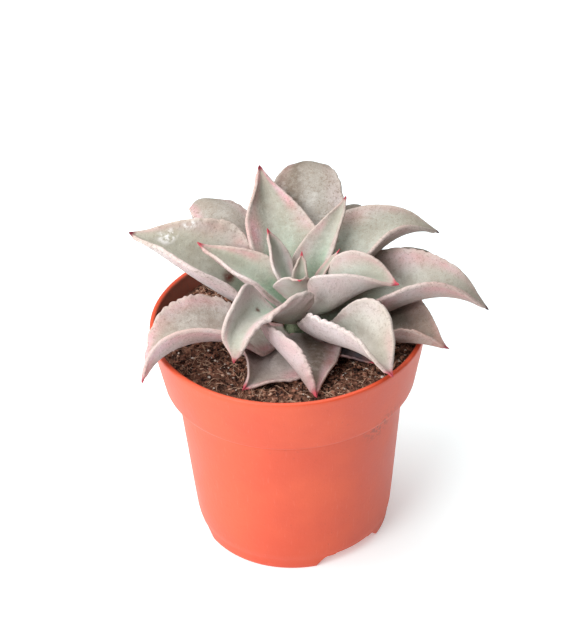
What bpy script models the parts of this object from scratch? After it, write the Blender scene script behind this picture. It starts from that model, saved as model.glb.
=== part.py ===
"""Potted echeveria: a loose rosette of boat-shaped leaves on a short stem, in a small nursery pot.

The script's own units are millimetres and degrees, turned into metres where a mesh is made.
+Z is up and -Y is the front. The origin is on the floor under the middle of the plant's spread, and the
pot's axis stands at POT_AXIS, because the rosette reaches further to the right and the back.
"""
import math
from dataclasses import dataclass

import bmesh
import bpy
import numpy as np

MM = 0.001
GAP = 0.3
POT_AXIS = (-7.9, -8.3)

# Pot
RIM_RADIUS = 52.5
POT_HEIGHT = 93.0
LIP_WIDTH = 2.0
LIP_DEPTH = 2.5
RIM_LEAN = 0.1
EDGE = 0.6
WALL = 1.2
BAND_HEIGHT = 24.0
BAND_FOOT_RADIUS = 48.3
BAND_STEP = 1.5
INNER_STEP_TOP = 1.0
INNER_STEP_FOOT = 2.4
BODY_TOP_RADIUS = 43.8
BODY_FOOT_RADIUS = 38.2
FOOT_HEIGHT = 6.0
FOOT_RADIUS = 37.3
FOOT_WIDTH = 2.4
FLOOR_UNDERSIDE = 6.4
FLOOR_TOP = 8.0
POT_SIDES = 60
FOOT_GAPS = ((43, 89), (163, 209), (283, 329))
FOOT_GAP_HEIGHT = 5.0
DRAIN_HOLES = 6
DRAIN_RADIUS = 3.5
DRAIN_RING = 24.0
DRAIN_SIDES = 12
DRAIN_TURN = 10.0
SECTOR_STEPS = 6
OVERSHOOT = 2.0

# Soil
SOIL_TOP = 86.0
SOIL_RINGS = (12.0, 22.0, 32.0, 41.0)
SOIL_DIP = 0.8
RIPPLE = (0.21, 0.17)
DRIFT = (0.09, -0.31)
SOIL_SIDES = 36

# Stem: the root stands in a plain hole in the soil and the leaves stand around the cone.
ROSETTE_AXIS = (5.0, 1.0)
ROOT_RADIUS = 3.0
ROOT_DEPTH = 22.0
STEM_SIDES = 12
STEM_PROFILE = (
    (6.6, 0.4), (6.6, 3.0), (5.4, 4.0), (5.2, 5.6), (4.5, 6.6), (4.4, 7.6), (4.0, 8.6), (3.9, 9.6),
    (3.3, 10.4), (2.5, 11.4), (2.3, 12.8), (0.9, 13.8))
STEM_CAP = 0.4

# Leaf outline: share of the length, and share of the full width there.
OUTLINE_AT = (0.0, 0.10, 0.25, 0.42, 0.58, 0.70, 0.80, 0.885, 0.94, 0.975, 1.0)
OUTLINE_WIDE = (0.20, 0.31, 0.54, 0.86, 1.0, 0.87, 0.63, 0.37, 0.18, 0.085, 0.03)
OUTLINE_WIDEST = 0.58
KEEL_SHARE = 0.3
EDGE_THICKNESS = 0.9
SLIM_LIMIT = 0.5
ROUNDING = 0.8
FOOT_BODY = 0.72
BODY_SWELL = 1.4
BODY_TAPER = 0.45
TIP_TAPER = 0.2
WAVES = 2.3
WAVE_SHIFT = 0.37
CALM_FOOT = 0.2
CALM_TIP = 0.15
WALK_STEPS = 96
ARC_STEPS = 24
STATIONS = 14
SHORT_LEAF = 30
SHORT_STATIONS = 10
POINTS_ACROSS = 7

TERRACOTTA = (0.62, 0.13, 0.055, 1.0)
PEAT = (0.035, 0.018, 0.011, 1.0)
FARINA_GREEN = (0.48, 0.52, 0.44, 1.0)
STEM_GREEN = (0.22, 0.24, 0.13, 1.0)


@dataclass
class Leaf:
    """One leaf: where its foot stands on the stem, how it runs outward, and how its two wings fold.

    rise is the midrib's slope from foot to tip, swing its turn from the azimuth. left and right are how
    far each wing folds up beside the keel, and the curls how far it goes on bending toward its margin,
    each blended from foot to tip. lean widens the left wing and narrows the right one.
    """
    name: str
    azimuth: float
    seat: float
    foot_radius: float
    length: float
    width: float
    rise: tuple
    left: tuple
    right: tuple
    left_curl: tuple = (0, 0, 0)
    right_curl: tuple = (0, 10, 0)
    swing: tuple = (0, 0)
    widest: float = 0.5
    lean: tuple = (0, 0)
    wave: float = 0.8
    thick: float = 3.2


DROOPING = dict(left=(15, 0, -30), right=(15, 0, -30), left_curl=(0, -20, -20), right_curl=(0, -20, -20))
LEAVES = (
    Leaf("heart_leaf_back", 75, 14.5, 1.2, 19, 7, (86, 84, 80),
         left=(50, 50, 30), right=(50, 50, 30), left_curl=(10, 20, 10), right_curl=(10, 20, 10), wave=0.2,
         thick=2),
    Leaf("heart_leaf_right", 31.2, 14.6, 3, 21.5, 4.8, (53, 54, 52, 51),
         left=(30, 20, 20), right=(30, 40, 30), right_curl=(10, 20, 10), swing=(0, -12), wave=0.1,
         thick=1.3),
    Leaf("heart_leaf_front", -91, 13.4, 2, 23, 14, (85, 82, 60, 20),
         left=(20, 10, 10), right=(10, 0, 10), left_curl=(10, 20, 10), right_curl=(10, 20, 10),
         widest=0.42, lean=(-0.5, -0.5, 0), wave=0.4, thick=1.7),
    Leaf("heart_leaf_left", 134, 14, 3.1, 28, 14, (60, 66, 62, 62),
         left=(40, 40, 30), right=(30, 30, 20), left_curl=(10, 20, 10), right_curl=(10, 20, 10),
         lean=(0.6, 0.5, 0.2), wave=0.3, thick=2.4),
    Leaf("inner_leaf_back", 46, 11.7, 4.4, 43, 12.8, (60, 64, 42, 20),
         left=(30, 20, 10), right=(16, 10, 10), left_curl=(10, 20, 10), right_curl=(10, 20, 10),
         swing=(0, 8, 24), widest=0.33, lean=(0.9, 0.6, 0.2), wave=0.3, thick=2.5),
    Leaf("inner_leaf_left", 160.5, 10.2, 4.8, 41.5, 22, (42, 38, 18, 36),
         left=(30, 50, 30), right=(50, 75, 25), left_curl=(0, 10, 0), right_curl=(0, 0, 0), widest=0.44,
         lean=(-0.4, 0.4, 0), wave=0.5, thick=2.8),
    Leaf("inner_leaf_right", -17, 11, 4, 37.5, 32, (21, 55, 41, -8),
         left=(20, 105, 40), right=(62, 85, 40), right_curl=(10, 20, 10), swing=(0, 3), widest=0.46,
         lean=(-0.6, 0, 0.4), wave=0.4, thick=2.7),
    Leaf("middle_leaf_back", 105, 10, 5.8, 57.5, 28.5, (44, 34, 20, 37),
         left=(0, 30, 30), right=(50, 20, 10), left_curl=(0, 20, 20), right_curl=(0, 0, 0), widest=0.4,
         lean=(-0.2, 0.1, 0.1)),
    Leaf("middle_leaf_front_left", -131, 9.5, 5, 48, 27, (35, 50, 18, -95),
         left=(42, 68, -10), right=(0, 0, 90, 160, -40), left_curl=(10, 10, 0), swing=(0, 0, 16),
         widest=0.38, lean=(0.9, 1, -1.4, 0.8)),
    Leaf("middle_leaf_back_right", 32.5, 8.4, 5.5, 61, 32, (20, 56, 58, 5, -35),
         left=(30, 45, 15), right=(30, 55, 30), right_curl=(0, 20, 10), swing=(0, -8, -21), widest=0.48,
         lean=(0.4, 0.2, 0)),
    Leaf("middle_leaf_left", 160.5, 6.25, 5.8, 67, 39, (10, 37, 33, 14),
         left=(30, 35, 20), right=(45, 75, 30), left_curl=(10, 50, 20), widest=0.56,
         lean=(-0.2, -0.2, 0.1)),
    Leaf("middle_leaf_front_right", -53, 8, 6, 48, 33, (4, 22, 22, -34),
         left=(60, 110, 60, 10), right=(0, 70, 50), left_curl=(0, 10, 10), right_curl=(60, 30, 0),
         widest=0.52, lean=(-0.9, -0.7, 1.1, -0.5)),
    Leaf("outer_leaf_back", 86, 7.2, 6.5, 81.5, 31, (15, 32, 85, 42, -120),
         left=(10, 0, -20), right=(10, 10, -10), left_curl=(0, -10, -20), right_curl=(0, -10, -20)),
    Leaf("outer_leaf_front_left", -152.5, 3.9, 7, 67.5, 33, (13, 29, 32, -72),
         left=(0, -60, 130, 80), right=(30, 55, -20), swing=(0, 3, 6), widest=0.45,
         lean=(0.3, 0.3, -0.6, 0)),
    Leaf("outer_leaf_right", -6, 5.6, 7, 67.5, 33, (0, 24, 72, -18, -42),
         left=(0, 85, 25), right=(45, 60, 45), right_curl=(0, 20, 10), widest=0.47, lean=(0.6, 0.2, 0)),
    Leaf("outer_leaf_back_left", 126, 3.6, 7.1, 80, 26, (20, 40, 62, 15, -100),
         **DROOPING),
    Leaf("outer_leaf_front", -93, 4.8, 7, 36, 34, (5, 24, -21, -25),
         left=(0, -5, 10), right=(0, 10, 60), right_curl=(0, 110, 110), swing=(0, 9, 22), widest=0.38,
         lean=(0, -0.35, 0)),
    Leaf("low_leaf_far_right", 28.5, 2.7, 8.5, 62.5, 26, (4, 38, 62, 6, -90),
         **DROOPING),
    Leaf("outer_leaf_front_right", -25, 3.5, 8.5, 50.5, 30, (-2, 17, 24, -14),
         left=(-10, 40, 15), right=(12, 0, 70, 90), widest=0.56, lean=(0, 0.5, 0.6, 0), thick=2.6),
    Leaf("low_leaf_back_right", 66, 4.7, 8, 70, 27, (8, 40, 70, -5, -100),
         **DROOPING),
    Leaf("low_leaf_front_left", -115, 2.35, 8.7, 34, 29, (-1, 3, 3, -5),
         left=(0, 5, 15), right=(0, -28, 5, 160), swing=(0, -12, -10), thick=2.2),
    Leaf("withered_leaf", -44, 1.65, 10, 26, 15, (0, 0, 8, 8),
         left=(0, 0, 0), right=(0, 20, 40), right_curl=(10, 20, 10), wave=0.2, thick=1.5),
)


def blend(values, share):
    """A smooth passage through a leaf's settings, from the foot's value to the tip's."""
    degree = len(values) - 1
    total = np.zeros_like(share)
    for k, value in enumerate(values):
        total += math.comb(degree, k) * share**k * (1 - share) ** (degree - k) * value
    return total


def smooth_curve(at, known_at, known):
    """A curve through the known points that never overshoots them."""
    x = np.array(known_at)
    y = np.array(known)
    step = np.diff(x)
    grade = np.diff(y) / step
    slope = np.concatenate([grade[:1], np.zeros(len(grade) - 1), grade[-1:]])
    for k in range(1, len(grade)):
        if grade[k - 1] * grade[k] > 0:
            before = 2 * step[k] + step[k - 1]
            after = step[k] + 2 * step[k - 1]
            slope[k] = (before + after) / (before / grade[k - 1] + after / grade[k])
    k = np.clip(np.searchsorted(x, at) - 1, 0, len(step) - 1)
    t = (at - x[k]) / step[k]
    return ((1 + 2 * t) * (1 - t) ** 2 * y[k] + t * (1 - t) ** 2 * step[k] * slope[k]
            + t * t * (3 - 2 * t) * y[k + 1] + t * t * (t - 1) * step[k] * slope[k + 1])


def half_width(leaf, share):
    """Half the leaf's width along its length, with the widest place moved to leaf.widest."""
    rising = share / leaf.widest * OUTLINE_WIDEST
    falling = OUTLINE_WIDEST + (share - leaf.widest) / (1 - leaf.widest) * (1 - OUTLINE_WIDEST)
    warped = np.where(share < leaf.widest, rising, falling)
    return smooth_curve(warped, OUTLINE_AT, OUTLINE_WIDE) * leaf.width / 2


def midrib(leaf, stations):
    """The keel's points and its sideways and upward directions, with the foot at 0 and the leaf along +X."""
    share = np.linspace(0, 1, WALK_STEPS + 1)
    slope = np.radians(blend(leaf.rise, share))
    turn = np.radians(blend(leaf.swing, share))
    along = np.stack([np.cos(slope) * np.cos(turn), np.cos(slope) * np.sin(turn), np.sin(slope)], 1)
    strides = (along[1:] + along[:-1]) / 2 * leaf.length / WALK_STEPS
    path = np.concatenate([np.zeros((1, 3)), np.cumsum(strides, 0)])
    side = np.stack([-np.sin(turn), np.cos(turn), np.zeros_like(turn)], 1)
    up = np.cross(along, side)
    read = [np.stack([np.interp(stations, share, rows[:, axis]) for axis in range(3)], 1)
            for rows in (path, side, up)]
    return read[0], read[1], read[2]


def wing(leaf, sign, reach, share, across):
    """Distance out, height and tilt of one wing's points, by walking from the keel to the margin."""
    lift = np.radians(blend(leaf.left if sign > 0 else leaf.right, share))
    curl = np.radians(blend(leaf.left_curl if sign > 0 else leaf.right_curl, share))
    at = (np.arange(ARC_STEPS) + 0.5) / ARC_STEPS
    tilt = lift[:, None] * np.minimum(1, at / KEEL_SHARE) + curl[:, None] * at
    start = np.zeros((len(share), 1))
    out = np.concatenate([start, np.cumsum(np.cos(tilt), 1)], 1) / ARC_STEPS * reach[:, None]
    height = np.concatenate([start, np.cumsum(np.sin(tilt), 1)], 1) / ARC_STEPS * reach[:, None]
    marks = np.linspace(0, 1, ARC_STEPS + 1)
    points = []
    for u in across:
        here = (np.array([np.interp(u, marks, row) for row in out]),
                np.array([np.interp(u, marks, row) for row in height]),
                lift * min(1, u / KEEL_SHARE) + curl * u)
        points.append(here)
    return points


def leaf_faces(leaf, stations):
    """Grids of the leaf's upper and lower face: stations along it by points across it."""
    share = np.linspace(0, 1, stations + 1)
    keel, side, up = midrib(leaf, share)
    width = half_width(leaf, share)
    half = POINTS_ACROSS // 2
    upper = np.repeat(keel[:, None], POINTS_ACROSS, 1)
    normal = np.repeat(up[:, None], POINTS_ACROSS, 1)
    for sign in (1, -1):
        reach = width * (1 + sign * blend(leaf.lean, share))
        across = [k / half for k in range(1, half + 1)]
        for k, (out, height, tilt) in enumerate(wing(leaf, sign, reach, share, across), 1):
            upper[:, half + sign * k] = keel + sign * out[:, None] * side + height[:, None] * up
            normal[:, half + sign * k] = np.cos(tilt)[:, None] * up - sign * np.sin(tilt)[:, None] * side
    place = (np.arange(POINTS_ACROSS) - half)[None, :]
    u = np.abs(place) / half
    along = share[:, None]
    calm = np.clip(np.minimum(along / CALM_FOOT, (1 - along) / CALM_TIP), 0, 1)
    wave = leaf.wave * u**3 * np.sin(2 * math.pi * (WAVES * along + WAVE_SHIFT * np.sign(place))) * calm
    upper = upper + normal * wave[..., None]
    body = np.clip(FOOT_BODY + BODY_SWELL * share, 0, 1) * (1 - BODY_TAPER * share - TIP_TAPER * share**2)
    slim = np.clip(2 * width / leaf.thick, SLIM_LIMIT, 1)[:, None]
    depth = (EDGE_THICKNESS + (leaf.thick * body[:, None] - EDGE_THICKNESS) * (1 - u**2) ** ROUNDING) * slim
    return upper, upper - normal * depth[..., None]


def finished_mesh(name, bm):
    bmesh.ops.recalc_face_normals(bm, faces=bm.faces)
    mesh = bpy.data.meshes.new(name)
    bm.to_mesh(mesh)
    bm.free()
    return mesh


def sheet_mesh(name, upper, lower):
    """One closed mesh from two facing grids, both cut into triangles along the same diagonals."""
    rows, columns, _ = upper.shape
    bm = bmesh.new()
    top = [[bm.verts.new(upper[i, j] * MM) for j in range(columns)] for i in range(rows)]
    base = [[bm.verts.new(lower[i, j] * MM) for j in range(columns)] for i in range(rows)]
    for i in range(rows - 1):
        for j in range(columns - 1):
            a, b, c, d = top[i][j], top[i + 1][j], top[i + 1][j + 1], top[i][j + 1]
            bm.faces.new((a, b, c))
            bm.faces.new((a, c, d))
            a, b, c, d = base[i][j], base[i + 1][j], base[i + 1][j + 1], base[i][j + 1]
            bm.faces.new((a, c, b))
            bm.faces.new((a, d, c))
    for i in range(rows - 1):
        bm.faces.new((top[i][0], base[i][0], base[i + 1][0], top[i + 1][0]))
        bm.faces.new((top[i + 1][-1], base[i + 1][-1], base[i][-1], top[i][-1]))
    for j in range(columns - 1):
        bm.faces.new((top[0][j + 1], base[0][j + 1], base[0][j], top[0][j]))
        bm.faces.new((top[-1][j], base[-1][j], base[-1][j + 1], top[-1][j + 1]))
    return finished_mesh(name, bm)


def turned_mesh(name, profile, sides):
    """A turned solid: a profile of (radius, height) that starts and ends on the axis, run round +Z."""
    bm = bmesh.new()
    rings = []
    turns = [2 * math.pi * k / sides for k in range(sides)]
    for radius, height in profile:
        around = [(math.cos(t), math.sin(t)) for t in turns] if radius else [(0, 0)]
        rings.append([bm.verts.new((radius * x * MM, radius * y * MM, height * MM)) for x, y in around])
    for low, high in zip(rings, rings[1:]):
        for k in range(sides):
            after = (k + 1) % sides
            if len(low) == 1:
                bm.faces.new((low[0], high[after], high[k]))
            elif len(high) == 1:
                bm.faces.new((low[k], low[after], high[0]))
            else:
                bm.faces.new((low[k], low[after], high[after], high[k]))
    return finished_mesh(name, bm)


def plain_material(name, colour, roughness):
    material = bpy.data.materials.new(name)
    material.use_nodes = True
    shader = material.node_tree.nodes["Principled BSDF"]
    shader.inputs["Base Color"].default_value = colour
    shader.inputs["Roughness"].default_value = roughness
    shader.inputs["Metallic"].default_value = 0.0
    return material


def add_object(name, mesh, material, parent, place=(0, 0, 0), turn=0.0):
    piece = bpy.data.objects.new(name, mesh)
    bpy.context.scene.collection.objects.link(piece)
    mesh.materials.append(material)
    piece.parent = parent
    piece.location = tuple(value * MM for value in place)
    piece.rotation_euler = (0, 0, math.radians(turn))
    return piece


def add_cutter(name, mesh, target, material):
    """Cuts the mesh out of the target, and keeps it as a hidden guide."""
    cutter = add_object(name, mesh, material, target.parent)
    cutter.hide_render = True
    cutter.display_type = "WIRE"
    cut = target.modifiers.new(name, "BOOLEAN")
    cut.operation = "DIFFERENCE"
    cut.object = cutter


def sector_mesh(name, start, end, inner, outer, low, high):
    """A block along an arc, from one azimuth to another."""
    bm = bmesh.new()
    ribs = []
    for k in range(SECTOR_STEPS + 1):
        t = math.radians(start + (end - start) * k / SECTOR_STEPS)
        corners = ((inner, low), (outer, low), (outer, high), (inner, high))
        ribs.append([bm.verts.new((r * math.cos(t) * MM, r * math.sin(t) * MM, z * MM)) for r, z in corners])
    for low_rib, high_rib in zip(ribs, ribs[1:]):
        for k in range(4):
            after = (k + 1) % 4
            bm.faces.new((low_rib[k], low_rib[after], high_rib[after], high_rib[k]))
    bm.faces.new(ribs[0])
    bm.faces.new(ribs[-1])
    return finished_mesh(name, bm)


def make_pot(parent):
    """Nursery pot: tapered body, stepped band with a lip, inset floor with drain holes, three feet."""
    band_foot = POT_HEIGHT - BAND_HEIGHT
    inner_lip = RIM_RADIUS - LIP_WIDTH
    outside = (
        (0, FLOOR_UNDERSIDE), (FOOT_RADIUS - FOOT_WIDTH, FLOOR_UNDERSIDE), (FOOT_RADIUS - FOOT_WIDTH, 0),
        (FOOT_RADIUS, 0), (BODY_FOOT_RADIUS, FOOT_HEIGHT), (BODY_TOP_RADIUS, band_foot - BAND_STEP),
        (BAND_FOOT_RADIUS - EDGE, band_foot - EDGE / 2), (BAND_FOOT_RADIUS, band_foot + EDGE),
        (RIM_RADIUS - RIM_LEAN, POT_HEIGHT - EDGE), (RIM_RADIUS - EDGE, POT_HEIGHT))
    inside = (
        (inner_lip + EDGE, POT_HEIGHT), (inner_lip, POT_HEIGHT - EDGE),
        (inner_lip - RIM_LEAN, POT_HEIGHT - LIP_DEPTH), (BAND_FOOT_RADIUS - WALL, band_foot + INNER_STEP_TOP),
        (BODY_TOP_RADIUS - WALL, band_foot - INNER_STEP_FOOT), (BODY_FOOT_RADIUS - WALL, FLOOR_TOP),
        (0, FLOOR_TOP))
    mesh = turned_mesh("pot", outside + inside, POT_SIDES)
    pot = add_object("pot", mesh, plain_material("terracotta_plastic", TERRACOTTA, 0.45), parent)
    hidden = plain_material("guide", PEAT, 1.0)
    for k, (start, end) in enumerate(FOOT_GAPS):
        gap = sector_mesh("foot_gap_cut_%d" % k, start, end, FOOT_RADIUS - FOOT_WIDTH - OVERSHOOT,
                          BODY_FOOT_RADIUS + OVERSHOOT, -OVERSHOOT, FOOT_GAP_HEIGHT)
        add_cutter("foot_gap_cut_%d" % k, gap, pot, hidden)
    low = FLOOR_UNDERSIDE - OVERSHOOT / 2
    high = FLOOR_TOP + OVERSHOOT / 2
    drill_profile = ((0, low), (DRAIN_RADIUS, low), (DRAIN_RADIUS, high), (0, high))
    for k in range(DRAIN_HOLES):
        turn = math.radians(DRAIN_TURN) + 2 * math.pi * k / DRAIN_HOLES
        drill = turned_mesh("drain_cut_%d" % k, drill_profile, DRAIN_SIDES)
        for vertex in drill.vertices:
            vertex.co.x += DRAIN_RING * math.cos(turn) * MM
            vertex.co.y += DRAIN_RING * math.sin(turn) * MM
        add_cutter("drain_cut_%d" % k, drill, pot, hidden)
    return pot


def soil_height(x, y):
    """Soil surface: level, with shallow dips that never rise over the soil line."""
    ripple = math.sin(x * RIPPLE[0] + 1.0) * math.sin(y * RIPPLE[1] + 0.4)
    ripple += 0.5 * math.sin(x * DRIFT[0] + y * DRIFT[1])
    return SOIL_TOP - SOIL_DIP * (1.5 + ripple) / 3


def make_soil(parent):
    """Soil: fills the pot, with a plain hole for the root under the rosette."""
    band_foot = POT_HEIGHT - BAND_HEIGHT
    inner_taper = (BAND_FOOT_RADIUS - RIM_RADIUS + LIP_WIDTH - WALL) / BAND_HEIGHT
    edge_radius = RIM_RADIUS - LIP_WIDTH + inner_taper * (POT_HEIGHT - SOIL_TOP) - 2 * GAP
    hole = ROOT_RADIUS + GAP
    bm = bmesh.new()
    rings = []
    turns = [2 * math.pi * k / SOIL_SIDES for k in range(SOIL_SIDES)]
    axis_x, axis_y = ROSETTE_AXIS

    def ring(radius, height, from_pot):
        """A ring that is centred on the root at the hole and on the pot at the edge."""
        row = []
        for t in turns:
            x = radius * math.cos(t) + axis_x * (1 - from_pot)
            y = radius * math.sin(t) + axis_y * (1 - from_pot)
            z = soil_height(x, y) if height is None else height
            row.append(bm.verts.new((x * MM, y * MM, z * MM)))
        rings.append(row)

    ring(hole, SOIL_TOP - ROOT_DEPTH - GAP, 0)
    ring(hole, SOIL_TOP, 0)
    for radius in SOIL_RINGS:
        ring(radius, None, radius / edge_radius)
    ring(edge_radius, SOIL_TOP - SOIL_DIP / 2, 1)
    ring(BAND_FOOT_RADIUS - WALL - GAP, band_foot + INNER_STEP_TOP, 1)
    ring(BODY_TOP_RADIUS - WALL - GAP, band_foot - INNER_STEP_FOOT, 1)
    ring(BODY_FOOT_RADIUS - WALL - GAP, FLOOR_TOP + GAP, 1)
    for low, high in zip(rings, rings[1:]):
        for k in range(SOIL_SIDES):
            after = (k + 1) % SOIL_SIDES
            bm.faces.new((low[k], high[k], high[after]))
            bm.faces.new((low[k], high[after], low[after]))
    bm.faces.new(rings[0])
    bm.faces.new(rings[-1])
    return add_object("soil", finished_mesh("soil", bm), plain_material("peat", PEAT, 0.95), parent)


def make_stem(parent):
    """Short woody stem: a root stub in the soil's hole, and a cone that narrows between the leaves' feet."""
    root = [(0, -ROOT_DEPTH), (ROOT_RADIUS, -ROOT_DEPTH), (ROOT_RADIUS, STEM_PROFILE[0][1])]
    profile = root + list(STEM_PROFILE) + [(0, STEM_PROFILE[-1][1] + STEM_CAP)]
    mesh = turned_mesh("stem", profile, STEM_SIDES)
    return add_object("stem", mesh, plain_material("stem_green", STEM_GREEN, 0.8), parent)


def make_leaf(leaf, parent, material):
    stations = SHORT_STATIONS if leaf.length < SHORT_LEAF else STATIONS
    upper, lower = leaf_faces(leaf, stations)
    turn = math.radians(leaf.azimuth)
    foot = (leaf.foot_radius * math.cos(turn), leaf.foot_radius * math.sin(turn), leaf.seat)
    return add_object(leaf.name, sheet_mesh(leaf.name, upper, lower), material, parent, foot, leaf.azimuth)


def empty(name, place, parent=None):
    guide = bpy.data.objects.new(name, None)
    bpy.context.scene.collection.objects.link(guide)
    guide.location = tuple(value * MM for value in place)
    guide.parent = parent
    return guide


def main():
    for item in list(bpy.data.objects):
        bpy.data.objects.remove(item)
    whole = empty("potted_plant", (POT_AXIS[0], POT_AXIS[1], 0))
    rosette = empty("rosette", (ROSETTE_AXIS[0], ROSETTE_AXIS[1], SOIL_TOP), whole)
    make_pot(whole)
    make_soil(whole)
    make_stem(rosette)
    farina = plain_material("farina_green", FARINA_GREEN, 0.7)
    for leaf in LEAVES:
        make_leaf(leaf, rosette, farina)


main()
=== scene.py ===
import math
import random
from dataclasses import dataclass

import bmesh
import bpy
import numpy as np
from mathutils import Matrix, Vector, noise


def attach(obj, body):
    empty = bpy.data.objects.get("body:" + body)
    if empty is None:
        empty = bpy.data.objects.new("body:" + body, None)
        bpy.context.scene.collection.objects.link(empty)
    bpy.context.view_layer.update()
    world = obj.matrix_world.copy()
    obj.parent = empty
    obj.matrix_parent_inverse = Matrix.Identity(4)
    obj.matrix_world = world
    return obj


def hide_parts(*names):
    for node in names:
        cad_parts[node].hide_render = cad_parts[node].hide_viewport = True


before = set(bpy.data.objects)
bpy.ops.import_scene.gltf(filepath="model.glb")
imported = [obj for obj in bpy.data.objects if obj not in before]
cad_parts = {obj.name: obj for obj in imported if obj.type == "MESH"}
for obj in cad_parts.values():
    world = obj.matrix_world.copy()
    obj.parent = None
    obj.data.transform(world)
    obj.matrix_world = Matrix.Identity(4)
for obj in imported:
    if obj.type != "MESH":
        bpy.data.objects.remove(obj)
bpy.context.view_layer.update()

# Lengths are in millimetres and angles in degrees, except where a comment says otherwise.
# +Z is up and -Y is the front, as in the part's source.
MM = 0.001
POT_AXIS = (-7.9, -8.3)
ROSETTE_AXIS = (5.0, 1.0)
SOIL_TOP = 86.0

# Leaf form, as in the part's source
OUTLINE_AT = (0.0, 0.10, 0.25, 0.42, 0.58, 0.70, 0.80, 0.885, 0.94, 0.975, 1.0)
OUTLINE_WIDE = (0.20, 0.31, 0.54, 0.86, 1.0, 0.87, 0.63, 0.37, 0.18, 0.085, 0.03)
OUTLINE_WIDEST = 0.58
KEEL_SHARE = 0.3
EDGE_THICKNESS = 0.9
SLIM_LIMIT = 0.5
ROUNDING = 0.8
FOOT_BODY = 0.72
BODY_SWELL = 1.4
BODY_TAPER = 0.45
TIP_TAPER = 0.2
WAVES = 2.3
WAVE_SHIFT = 0.37
CALM_FOOT = 0.2
CALM_TIP = 0.15
WALK_STEPS = 96

# Finer cut of the same form, with thicker margins
FINE_STATIONS = 84
STATION_SHIFT = 0.06
SIDE_POINTS = 17
SIDE_SPACING = 0.8
ARC_STEPS = 40
RIM_POINTS = 4
RIM_BULGE = 0.9
MARGIN_SHARE = 0.5
THICKEST_MARGIN = 1.6

# Pointed end: for each ring its distance as a share of the point, its size against the leaf's last ring,
# and its place along the leaf. The end has no size.
POINT_LENGTH = 1.3
POINT_RINGS = ((0.3, 0.85, 1.01), (0.65, 0.55, 1.02), (1.0, 0.2, 1.03))
POINT_END = (1.1, 1.04)

# Ragged margin: scallops of uneven size, finer nicks, and a frill that leaves the leaf's own curve.
# Rates are how fast a ripple changes along the leaf, and rows keep the ripples apart.
SCALLOPS = 21
SCALLOP_SHAPE = 0.6
SCALLOP_DRIFT = 1.5
DRIFT_RATE = 5
WEAKEST_SCALLOP = 0.35
STRENGTH_RATE = 8
STRENGTH_ROW = 50
NICK_SHARE = 0.25
NICK_RATE = 70
NICK_ROW = 90
FRILL_SHARE = 0.5
FRILL_RATE = 22
FRILL_ROW = 30
WING_ROWS = {1: 10, -1: 20}
RAGGED_FROM_FOOT = (0.08, 0.3)
RAGGED_FROM_TIP = (0.97, 0.72)
RAGGED_ACROSS = (0.6, 1)
LEAST_REACH = 1.0
RIPPLE_GAIN = 1.6
RIPPLE_ROW_STEP = 7.31
RIPPLE_PLANE = 3.7

# Marks on the skin, from where each begins to where it is full: along the leaf from foot 0 to tip 1
GREEN_ALONG = (0.8, 0.1)
HOLLOW_ALONG = (0.42, 0.12)
ROSY_ALONG = (0.85, 0.97)
OUTER_ALONG = (0.35, 0.95)
CREAM_ALONG = (0.2, 0.8)
LAVENDER_LIGHT_ALONG = (1.0, 0.5)
RED_POINT_FROM = 0.95
DARK_POINT_SHIFT = 0.03

# The same across the leaf from keel 0 to margin 1, with the right wing below 0 for the change of wings.
# Green and the brownish darkening, which is partly painted shade, fade over their margins.
HOLLOW_ACROSS = (1.1, 0.5)
GREEN_MARGIN = (0.7, 1.0)
BLUSH_BAND = (0.45, 0.9)
BROWN_SHADE_MARGIN = (0.8, 1.0)
LAVENDER_LIGHT_ACROSS = (0.1, 0.7)
VERY_RIM = (0.9, 1.0)
WING_CHANGE = (-0.15, 0.3)

# Edge of a round patch, in its own radii
PATCH_EDGE = (1.3, 0.3)

# How strong green is everywhere, toward the foot and in the hollow, and blush everywhere, in its band and
# on the underside
GREEN_WEIGHTS = (0.25, 0.45, 0.7)
BLUSH_WEIGHTS = (0.08, 0.85, 0.35)
ROSY_TIP = 0.3

# What is left of a mark over the margin, the underside or the keel
GREEN_AT_MARGIN = 0.4
GREEN_BELOW = 0.9
BLUSH_AT_RIM = 0.6
BLUSH_BELOW = 0.6
CREAM_BELOW = 0.4
BROWN_SHADE_AT_MARGIN = 0.5
BROWN_SHADE_BELOW = 0.4
LAVENDER_LIGHT_AT_KEEL = 0.4
SPECKLE_AT_KEEL = 0.5

# How far noise shifts a mark's border, and the patchy blush: its middle, its swing and its limits
BORDER_SHIFT = 0.3
SMALL_SHIFT = 0.2
PATCHY_MIDDLE = 0.65
PATCHY_SWING = 0.9
PATCHY_LIMITS = (0.2, 1)

# How fast noise changes along the leaf, across it and from leaf to leaf
WANDER = (3.1, 1.7, 3.3)
PATCHINESS = (6.3, 2.2, 1.9)

# Noise in the leaf's material: scale per metre, detail and roughness
CLOUD = (120, 4.0, 0.6)
MOTTLE = (420, 3.0, 0.6)
GRAIN = (950, 3.0, 0.65)
DUST = (2600, 2.0, 0.7)

# Leaf colours, as eight-bit screen values. A pair is mixed by noise.
UPPER_SKIN = ((172, 166, 158), (206, 203, 198))
LOWER_SKIN = ((186, 172, 168), (206, 196, 196))
GREEN_SKIN = ((120, 170, 138), (160, 196, 164))
PINK_SKIN = ((214, 152, 156), (212, 174, 182))
DRIED_SKIN = ((140, 76, 66), (176, 130, 116))
OUTER_SKIN = (160, 149, 135)
CREAM_SKIN = (200, 194, 170)
MOTTLED_SKIN = (160, 152, 142)
# Pale lilac: the bloom of undersides in part, and painted light that brightens shaded hollows and wings
LAVENDER_BLOOM_AND_LIGHT = (232, 226, 226)
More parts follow.
